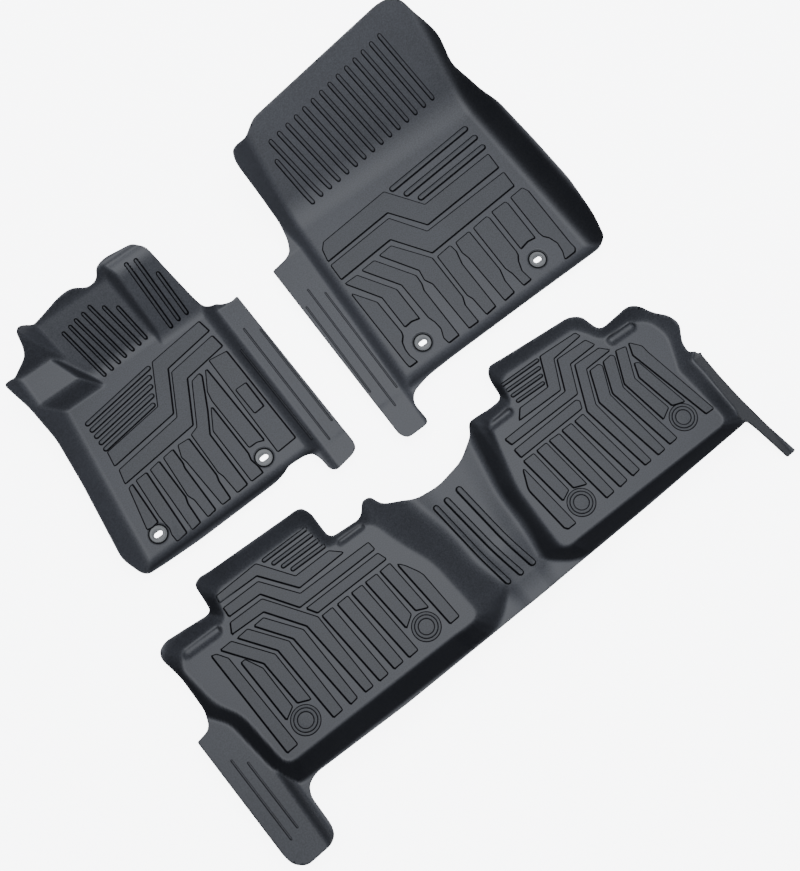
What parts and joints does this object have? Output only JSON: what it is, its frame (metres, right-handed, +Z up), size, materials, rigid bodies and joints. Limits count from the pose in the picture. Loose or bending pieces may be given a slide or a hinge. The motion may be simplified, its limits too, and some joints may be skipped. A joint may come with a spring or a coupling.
{
  "type": "floor mat set",
  "caption": "Moulded all-weather floor mats for a crew cab: driver, passenger and full-width rear tray with raised treads, sill flaps, toe boards and slotted anchor grommets.",
  "frame": {"origin": "centre of the laid-out set at the level that the mats lie on", "axes": "+X across the cab to the passenger mat, +Y forward to the toe boards, +Z up"},
  "size_m": [1.39, 1.396, 0.1839],
  "materials": {
    "mat_sheet": "matte, fine grain",
    "grommet": "satin silver-grey"
  },
  "bodies": {
    "rear": {"rear_mat": "mat_sheet"},
    "driver": {"driver_mat": "mat_sheet", "driver_left_upper_ring": "grommet", "driver_left_lower_ring": "grommet", "driver_right_upper_ring": "grommet", "driver_right_lower_ring": "grommet"},
    "passenger": {"passenger_mat": "mat_sheet", "passenger_left_upper_ring": "grommet", "passenger_left_lower_ring": "grommet", "passenger_right_upper_ring": "grommet", "passenger_right_lower_ring": "grommet"}
  },
  "joints": [
    {"name": "driver_lift", "type": "slide", "parent": "rear", "child": "driver", "axis": [0, 0, 1], "range_m": [0, 0.3]},
    {"name": "passenger_lift", "type": "slide", "parent": "rear", "child": "passenger", "axis": [0, 0, 1], "range_m": [0, 0.3]}
  ]
}
